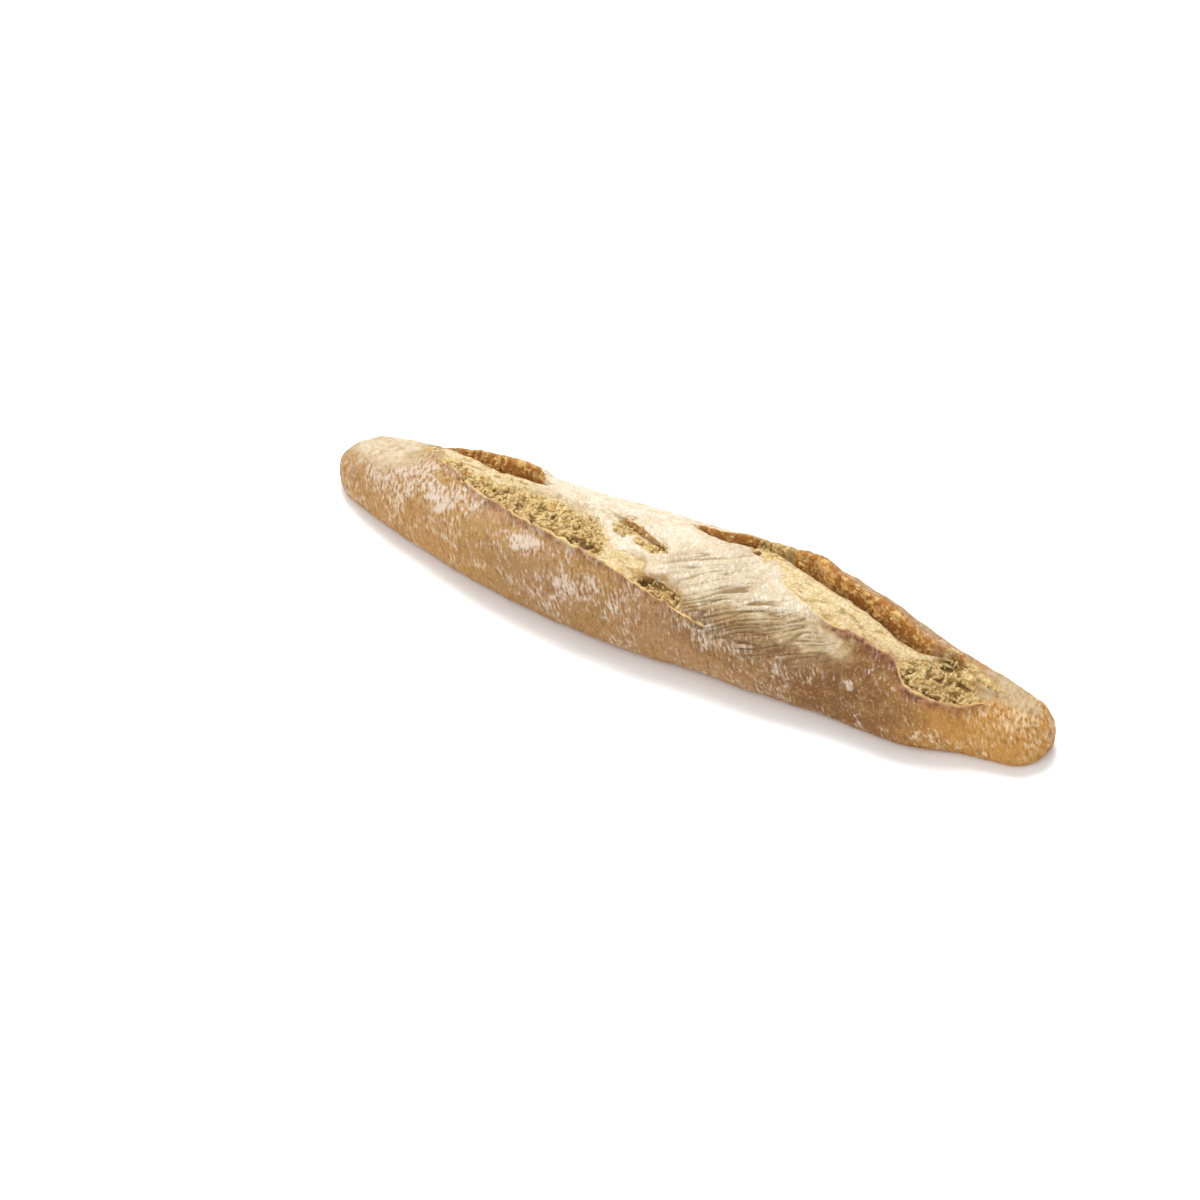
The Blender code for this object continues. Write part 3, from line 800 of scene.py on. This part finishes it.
def slab_surface(slab, shift):
    """The points, outward directions and finish of a fine grid that dips into the loaf at its edges."""
    x_mm = np.linspace(slab.low_mm, slab.high_mm, round((slab.high_mm - slab.low_mm) / DETAIL_STEP))
    places = even_places(x_mm, slab)
    points, x_mm, angle = shaped_grid(x_mm, places)
    points = points - shift
    finish = loaf_finish(points, x_mm, angle, places)
    kept = np.clip(sum(finish[key] for key in slab.shown), 0, 1)
    fade = edge_fade(*angle.shape, SLAB_EDGE_FACETS) * soft_step(kept, *SLAB_SHOWN)
    points, normal = add_relief(points, x_mm, angle, finish, False, 1, SLAB_DIP * (1 - fade) - SLAB_LIFT)
    finish["strewn"] = fade * soft_step(finish["torn"] + EAR_CRUMBS * finish["ear"], *CRUMBS_STREWN)
    return points, normal, finish


def slab_mesh(name, slab, surface):
    """A thin slab of fine facets that lies in the loaf's surface."""
    points, normal, finish = surface
    below = points - normal * slab.thickness * MILLIMETRE
    both = np.concatenate([points.reshape(-1, 3), below.reshape(-1, 3)])
    doubled = {key: np.tile(values.reshape(-1), 2) for key, values in finish.items()}
    return finished_mesh(name, both, slab_faces(*points.shape[:2]), doubled)


def torn_mesh(surfaces):
    """The fine grids of torn crumb on their own, side by side in one mesh."""
    faces, count = [], 0
    for points, _, _ in surfaces:
        faces += grid_faces(*points.shape[:2], count)
        count += points.shape[0] * points.shape[1]
    together = np.concatenate([points.reshape(-1, 3) for points, _, _ in surfaces])
    names = surfaces[0][2]
    finish = {key: np.concatenate([part[2][key].reshape(-1) for part in surfaces]) for key in names}
    return finished_mesh("torn surface", together, faces, finish)


# What the colours follow: shares of a finish, and grains of noise as (millimetres, detail, roughness)
FINISH_NAMES = (
    "rim", "edge", "torn", "cream", "ear", "toast", "pale", "golden", "brown", "dusted", "bake_and_painted_shade",
    "depth", "painted_flake_shading", "painted_crease_shade", "wrinkle",
)
GRAINS = {
    "broad": (24, 3.0, 0.55), "patchy": (11, 2.0, 0.55), "medium": (6, 3.0, 0.55),
    "small": (2.6, 3.0, 0.55), "fine": (1.1, 4.0, 0.65), "rough": (2.6, 5.0, 0.7),
}
DASH_GRAIN = (1.1, 4.0, 0.6)
DASH_LENGTHS = (1.0, 2.6, 2.6)
DASH_TURN = (0.0, -0.4, 0.4)
STREAK_GRAIN = (1.8, 4.0, 0.6)
STREAK_LENGTHS = (3.3, 1.0, 1.0)

# How the flour gathers. A range is (low, high), with the shares there behind it if they aren't 0 and 1.
MEDIUM_IN_SPREAD = 0.5
SPREAD_RANGE = (0.62, 0.98)
GATHERED_SHARE = 0.7
SPREAD_PULL = 0.2
BROWN_PULL = -0.04
FLOUR_RANGE = (0.55, 0.8, 0.0, 0.92)
FLOUR_ON_BAKE_SHADE = (0.0, 0.8, 1.0, 0.15)
PALE_UNEVENNESS = 0.7
ROUGHNESS_BY_FLOUR = (0.0, 1.0, 0.6, 0.9)
SHINE = 0.3
DASHES_IN_BUMP = 0.8
BUMP_STRENGTH = 0.9
BUMP_DISTANCE = 0.0018

# The curve of an ordinary screen, which turns a tint into light
TINT_LIMIT = 255
DARK_TINT = 0.04045
DARK_SLOPE = 12.92
TINT_OFFSET = 0.055
TINT_POWER = 2.4

# Colours as a base and the layers over it, in order: what a layer follows, its range or its plain share of
# that, and its tint, from 0 to 255 as it looks on a screen, or the name of a colour above
COLOURS = {
    "rim": ((112, 64, 42), ("small", (0.38, 0.62), (176, 126, 96))),
    "flour": ((216, 198, 180), ("golden", 0.7, (228, 204, 156))),
    "pale skin": (
        (224, 204, 172), ("fine", (0.3, 0.7), (248, 236, 216)),
        ("medium", (0.42, 0.66, 0, 0.6), (208, 184, 142)), ("wrinkle", 0.8, (202, 184, 152)),
        ("dashes", (0.52, 0.66, 0, 0.7), (252, 244, 232)),
        # painted shade in the creases of the wrinkled skin
        ("painted_crease_shade", (0.1, 0.75, 0, 0.9), (138, 110, 64)),
    ),
    "cream": (
        (206, 180, 128), ("fine", (0.36, 0.64), (238, 218, 176)),
        ("small", (0.45, 0.7, 0, 0.6), (206, 176, 112)),
        ("streaks", (0.5, 0.66, 0, 0.75), (156, 122, 66)),
    ),
    "torn crumb": (
        (190, 160, 96), ("fine", (0.36, 0.64), (236, 212, 156)),
        ("small", (0.5, 0.68, 0, 0.8), (196, 144, 74)),
        # painted shade in the crumb's hollows, the gutter and the pits; a random darker tone on loose
        # crumbs
        ("depth", (0.05, 0.6, 0, 0.85), (138, 102, 48)),
        ("depth", (0.5, 1, 0, 0.85), (96, 66, 28)),
    ),
    "ear's underside": (
        # painted shading: lighter on the raised flakes, the base darker between them
        (170, 112, 50), ("painted_flake_shading", (0.2, 0.65), (226, 178, 106)),
        ("small", (0.48, 0.66, 0, 0.7), (232, 198, 130)),
    ),
    "toasted top": ((166, 116, 66), ("dashes", (0.46, 0.68), (222, 188, 140))),
    "crust": (
        (178, 138, 78), ("broad", (0.38, 0.62), (182, 142, 98)), ("brown", 0.95, (114, 74, 32)),
        ("wrinkle", 0.45, (192, 168, 130)), ("medium", (0.42, 0.66, 0, 0.5), (152, 112, 62)),
        # darker golden brown low on the flanks: partly baked darker, partly painted shade
        ("bake_and_painted_shade", (0.05, 0.8, 0, 0.9), (168, 110, 42)), ("golden", 0.85, (194, 138, 62)),
        ("dashes", (0.32, 0.48, 0.75, 0), (126, 82, 42)),
        ("fine", (0.54, 0.66, 0, 0.5), (200, 160, 110)), ("rim", 0.95, "rim"),
        # painted shade in the creases
        ("flour", 1, "flour"), ("painted_crease_shade", 0.7, (112, 80, 46)),
        ("paleness", (0, 0.5, 0, 0.8), (184, 156, 110)),
        ("paleness", (0.25, 0.95, 0, 0.92), "pale skin"), ("cream", (0.25, 0.7), "cream"),
        ("torn", (0.3, 0.6), "torn crumb"), ("edge", 0.95, (246, 210, 140)),
        ("ear", (0.3, 0.65), "ear's underside"), ("toast", (0.1, 0.9), "toasted top"),
    ),
}


def tint(red, green, blue):
    """The light of a colour that is given as it looks on a screen, from 0 to 255."""
    looks = np.array([red, green, blue]) / TINT_LIMIT
    bright = ((looks + TINT_OFFSET) / (1 + TINT_OFFSET)) ** TINT_POWER
    light = np.where(looks <= DARK_TINT, looks / DARK_SLOPE, bright)
    return (*light.tolist(), 1.0)


def add_node(tree, kind, inputs, **settings):
    node = tree.nodes.new(kind)
    for name, value in settings.items():
        setattr(node, name, value)
    for key, value in inputs.items():
        if isinstance(value, bpy.types.NodeSocket):
            tree.links.new(value, node.inputs[key])
        else:
            node.inputs[key].default_value = value
    return node


def ranged(tree, value, low, high, start=0.0, end=1.0):
    inputs = {"Value": value, "From Min": low, "From Max": high, "To Min": start, "To Max": end}
    node = add_node(tree, "ShaderNodeMapRange", inputs, interpolation_type="SMOOTHSTEP")
    return node.outputs["Result"]


def sum_of(tree, first, second, way="ADD"):
    return add_node(tree, "ShaderNodeMath", {0: first, 1: second}, operation=way).outputs[0]


def times(tree, first, second):
    return sum_of(tree, first, second, "MULTIPLY")


def grain(tree, place, size_mm, detail, roughness):
    inputs = {"Vector": place, "Scale": 1 / MILLIMETRE / size_mm, "Detail": detail, "Roughness": roughness}
    return add_node(tree, "ShaderNodeTexNoise", inputs).outputs["Fac"]


def stretched(tree, place, lengths, turn=(0.0, 0.0, 0.0)):
    """The place for a pattern that is longer along some of its axes, after those are turned."""
    inputs = {"Vector": place, "Scale": lengths, "Rotation": turn}
    return add_node(tree, "ShaderNodeMapping", inputs, vector_type="TEXTURE").outputs["Vector"]


def flour_share(tree, look):
    """Flour lies in dashes, more of them in dusted patches, fewer where the crust is brown or baked."""
    spread = sum_of(tree, look["patchy"], times(tree, look["medium"], MEDIUM_IN_SPREAD))
    spread = times(tree, ranged(tree, spread, *SPREAD_RANGE), GATHERED_SHARE)
    spread = sum_of(tree, spread, look["dusted"])
    flour = sum_of(tree, look["dashes"], times(tree, spread, SPREAD_PULL))
    flour = sum_of(tree, flour, times(tree, look["brown"], BROWN_PULL))
    flour = ranged(tree, flour, *FLOUR_RANGE)
    return times(tree, flour, ranged(tree, look["bake_and_painted_shade"], *FLOUR_ON_BAKE_SHADE))


def crust_look(tree):
    """Everything that the colours follow, by name."""
    place = add_node(tree, "ShaderNodeTexCoord", {}).outputs["Object"]
    shares = {name: add_node(tree, "ShaderNodeAttribute", {}, attribute_name=name) for name in FINISH_NAMES}
    look = {name: node.outputs["Fac"] for name, node in shares.items()}
    look.update({name: grain(tree, place, *sizes) for name, sizes in GRAINS.items()})
    look["dashes"] = grain(tree, stretched(tree, place, DASH_LENGTHS, DASH_TURN), *DASH_GRAIN)
    look["streaks"] = grain(tree, stretched(tree, place, STREAK_LENGTHS), *STREAK_GRAIN)
    look["flour"] = flour_share(tree, look)
    uneven = sum_of(tree, sum_of(tree, look["medium"], look["small"]), -1.0)
    look["paleness"] = sum_of(tree, look["pale"], times(tree, uneven, PALE_UNEVENNESS))
    return look


def layered_colour(tree, look, colours, base, layers):
    """The base tint with its layers mixed in, which may be colours made before."""
    colour = tint(*base)
    for follows, limits, over in layers:
        if isinstance(limits, tuple):
            share = ranged(tree, look[follows], *limits)
        else:
            share = times(tree, look[follows], limits)
        mix = {0: share, 6: colour, 7: colours[over] if over in colours else tint(*over)}
        colour = add_node(tree, "ShaderNodeMix", mix, data_type="RGBA").outputs[2]
    return colour


def crust_material():
    material = bpy.data.materials.new("floured baked crust")
    material.use_nodes = True
    tree = material.node_tree
    shader = tree.nodes["Principled BSDF"]
    look = crust_look(tree)
    colours = {}
    for name, (base, *layers) in COLOURS.items():
        colours[name] = layered_colour(tree, look, colours, base, layers)
    tree.links.new(colours["crust"], shader.inputs["Base Color"])
    tree.links.new(ranged(tree, look["flour"], *ROUGHNESS_BY_FLOUR), shader.inputs["Roughness"])
    height = sum_of(tree, look["rough"], times(tree, look["dashes"], DASHES_IN_BUMP))
    bump = {"Strength": BUMP_STRENGTH, "Distance": BUMP_DISTANCE, "Height": height}
    tree.links.new(add_node(tree, "ShaderNodeBump", bump).outputs["Normal"], shader.inputs["Normal"])
    shader.inputs["Specular IOR Level"].default_value = SHINE
    return material


# Loose crumbs in the torn parts, with the settings of the nodes that make, dent, turn, size and shade them
CRUMBS_PER_SQUARE_METRE = 240000.0
CRUMB_RADIUS = 0.0011
CRUMB_SEED = 7
CRUMB_FACETS = {"Segments": 8, "Rings": 5, "Radius": 1.0}
CRUMB_DENTS = {"Scale": 0.9, "Detail": 1.0}
CRUMB_DENT_DEPTH = 1.8
CRUMB_TURNS = {1: (6.3, 6.3, 6.3)}
CRUMB_SIZES = {0: (0.35, 0.35, 0.35), 1: (1.3, 1.0, 0.9), "Seed": 1}
CRUMB_SHADES = {3: 0.25, "Seed": 2}


def crumb_inputs(tree):
    """The tree's inputs by name, and the outputs that carry their values into it."""
    kinds = {
        "Surface": "NodeSocketGeometry", "Crumbs per square metre": "NodeSocketFloat",
        "Crumb radius": "NodeSocketFloat", "Seed": "NodeSocketInt", "Material": "NodeSocketMaterial",
    }
    sockets = {}
    for name, kind in kinds.items():
        sockets[name] = tree.interface.new_socket(name=name, in_out="INPUT", socket_type=kind)
    tree.interface.new_socket(name="Crumbs", in_out="OUTPUT", socket_type="NodeSocketGeometry")
    return sockets, tree.nodes.new("NodeGroupInput").outputs


def uneven_crumb(tree):
    """A small dented ball of 64 triangles, a metre in radius before it is scaled."""
    ball = add_node(tree, "GeometryNodeMeshUVSphere", CRUMB_FACETS)
    dents = add_node(tree, "ShaderNodeTexNoise", CRUMB_DENTS).outputs["Color"]
    middle = add_node(tree, "ShaderNodeVectorMath", {0: dents, 1: (0.5, 0.5, 0.5)}, operation="SUBTRACT")
    offset = {0: middle.outputs[0], "Scale": CRUMB_DENT_DEPTH}
    offset = add_node(tree, "ShaderNodeVectorMath", offset, operation="SCALE")
    lump = {"Geometry": ball.outputs["Mesh"], "Offset": offset.outputs[0]}
    return add_node(tree, "GeometryNodeSetPosition", lump).outputs["Geometry"]


def placed_crumbs(tree, given):
    """Copies of the crumb in many sizes and turns, as dense as the surface's strewn share says."""
    torn = add_node(tree, "GeometryNodeInputNamedAttribute", {"Name": "strewn"}, data_type="FLOAT")
    density = times(tree, torn.outputs["Attribute"], given["Crumbs per square metre"])
    spots = {"Mesh": given["Surface"], "Density": density, "Seed": given["Seed"]}
    spots = add_node(tree, "GeometryNodeDistributePointsOnFaces", spots)
    turn = add_node(tree, "FunctionNodeRandomValue", CRUMB_TURNS, data_type="FLOAT_VECTOR")
    size = add_node(tree, "FunctionNodeRandomValue", CRUMB_SIZES, data_type="FLOAT_VECTOR")
    scale = {0: size.outputs[0], "Scale": given["Crumb radius"]}
    scale = add_node(tree, "ShaderNodeVectorMath", scale, operation="SCALE")
    placed = {
        "Points": spots.outputs["Points"], "Instance": uneven_crumb(tree), "Rotation": turn.outputs[0],
        "Scale": scale.outputs[0],
    }
    return add_node(tree, "GeometryNodeInstanceOnPoints", placed).outputs["Instances"]


def crumb_tree():
    """Geometry nodes that strew uneven crumbs over the torn parts of a surface."""
    tree = bpy.data.node_groups.new("strewn crumbs", "GeometryNodeTree")
    sockets, given = crumb_inputs(tree)
    # Each loose crumb gets a random darker tone, in the share that holds painted shade on the torn surface
    shade = add_node(tree, "FunctionNodeRandomValue", CRUMB_SHADES, data_type="FLOAT")
    shaded = {"Geometry": placed_crumbs(tree, given), "Name": "depth", "Value": shade.outputs[1]}
    shaded = add_node(tree, "GeometryNodeStoreNamedAttribute", shaded, data_type="FLOAT", domain="INSTANCE")
    real = add_node(tree, "GeometryNodeRealizeInstances", {"Geometry": shaded.outputs["Geometry"]})
    smooth = add_node(tree, "GeometryNodeSetShadeSmooth", {"Geometry": real.outputs["Geometry"]})
    coloured = {"Geometry": smooth.outputs["Geometry"], "Material": given["Material"]}
    coloured = add_node(tree, "GeometryNodeSetMaterial", coloured).outputs["Geometry"]
    tree.links.new(coloured, tree.nodes.new("NodeGroupOutput").inputs["Crumbs"])
    return tree, sockets


def strewn_crumbs(surfaces, material):
    """A plain mesh of the crumbs strewn over the torn surfaces."""
    ground = bpy.data.objects.new("torn surface", torn_mesh(surfaces))
    bpy.context.scene.collection.objects.link(ground)
    strewing = ground.modifiers.new("strewn crumbs", "NODES")
    strewing.node_group, sockets = crumb_tree()
    values = {
        "Crumbs per square metre": CRUMBS_PER_SQUARE_METRE, "Crumb radius": CRUMB_RADIUS,
        "Seed": CRUMB_SEED, "Material": material,
    }
    for name, value in values.items():
        strewing[sockets[name].identifier] = value
    graph = bpy.context.evaluated_depsgraph_get()
    strewn = ground.evaluated_get(graph)
    crumbs = bpy.data.meshes.new_from_object(strewn, preserve_all_data_layers=True, depsgraph=graph)
    crumbs.name = "loose_crumbs"
    ground.modifiers.remove(strewing)
    bpy.data.objects.remove(ground, do_unlink=True)
    return crumbs


def add_piece(mesh, material):
    piece = bpy.data.objects.new(mesh.name, mesh)
    bpy.context.scene.collection.objects.link(piece)
    if not mesh.materials:
        mesh.materials.append(material)
    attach(piece, "root")
    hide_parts("loaf")


# The floor, the light and the camera. A lamp is (place, size, watts).
CAMERA_TURN = 35.24
CAMERA_RISE = 37.0
CAMERA_AWAY = 1.1539
CAMERA_TARGET = (-0.0268, -0.0088, 0.0)
LENS_MM = 85
SENSOR_MM = 36
FLOOR_HALF = 6.0
FLOOR_COLOUR = (0.95, 0.95, 0.95, 1)
FLOOR_ROUGHNESS = 0.9
SKY_STRENGTH = 0.58
LAMPS = {
    "high_light": ((-0.8, 0.9, 2.2), 1.2, 62),
    "front_fill": ((0.4, -1.8, 1.2), 2.0, 30),
}


def add_floor():
    mesh = bpy.data.meshes.new("pale_floor")
    corners = [(-1, -1), (1, -1), (1, 1), (-1, 1)]
    mesh.from_pydata([(x * FLOOR_HALF, y * FLOOR_HALF, 0) for x, y in corners], [], [(0, 1, 2, 3)])
    floor = bpy.data.objects.new("pale_floor", mesh)
    bpy.context.scene.collection.objects.link(floor)
    material = bpy.data.materials.new("pale floor")
    material.use_nodes = True
    shader = material.node_tree.nodes["Principled BSDF"]
    shader.inputs["Base Color"].default_value = FLOOR_COLOUR
    shader.inputs["Roughness"].default_value = FLOOR_ROUGHNESS
    mesh.materials.append(material)


def add_lamp(name, place, size, watts):
    """A square lamp that shines at the loaf."""
    lamp = bpy.data.lights.new(name, "AREA")
    lamp.shape = "SQUARE"
    lamp.size = size
    lamp.energy = watts
    box = bpy.data.objects.new(name, lamp)
    bpy.context.scene.collection.objects.link(box)
    box.location = place
    box.rotation_euler = (-Vector(place)).to_track_quat("-Z", "Y").to_euler()


def add_sky():
    world = bpy.data.worlds.new("soft studio")
    world.use_nodes = True
    background = world.node_tree.nodes["Background"]
    background.inputs["Color"].default_value = (1, 1, 1, 1)
    background.inputs["Strength"].default_value = SKY_STRENGTH
    bpy.context.scene.world = world


def add_camera():
    """The camera looks at its target from where its turn, rise and distance put it."""
    turn, rise = math.radians(CAMERA_TURN), math.radians(CAMERA_RISE)
    back = Vector((math.sin(turn) * math.cos(rise), -math.cos(turn) * math.cos(rise), math.sin(rise)))
    right = Vector((math.cos(turn), math.sin(turn), 0))
    up = back.cross(right)
    data = bpy.data.cameras.new("camera")
    data.lens = LENS_MM
    data.sensor_width = SENSOR_MM
    camera = bpy.data.objects.new("camera", data)
    bpy.context.scene.collection.objects.link(camera)
    turned = Matrix((right, up, back)).transposed().to_4x4()
    camera.matrix_world = Matrix.Translation(Vector(CAMERA_TARGET) + back * CAMERA_AWAY) @ turned
    bpy.context.scene.camera = camera


def main():
    bpy.context.scene.view_settings.view_transform = "Standard"
    add_camera()
    material = crust_material()
    shaped, *_ = shaped_grid(ring_places(), column_places())
    shift = placing_shift(shaped)
    add_piece(loaf_mesh(shift), material)
    surfaces = {name: slab_surface(slab, shift) for name, slab in SLABS.items()}
    for name, surface in surfaces.items():
        add_piece(slab_mesh(name, SLABS[name], surface), material)
    torn = [surface for name, surface in surfaces.items() if SLABS[name].shown == TORN_FINISHES]
    add_piece(strewn_crumbs(torn, material), material)
    add_floor()
    add_sky()
    for name, lamp in LAMPS.items():
        add_lamp(name, *lamp)


main()
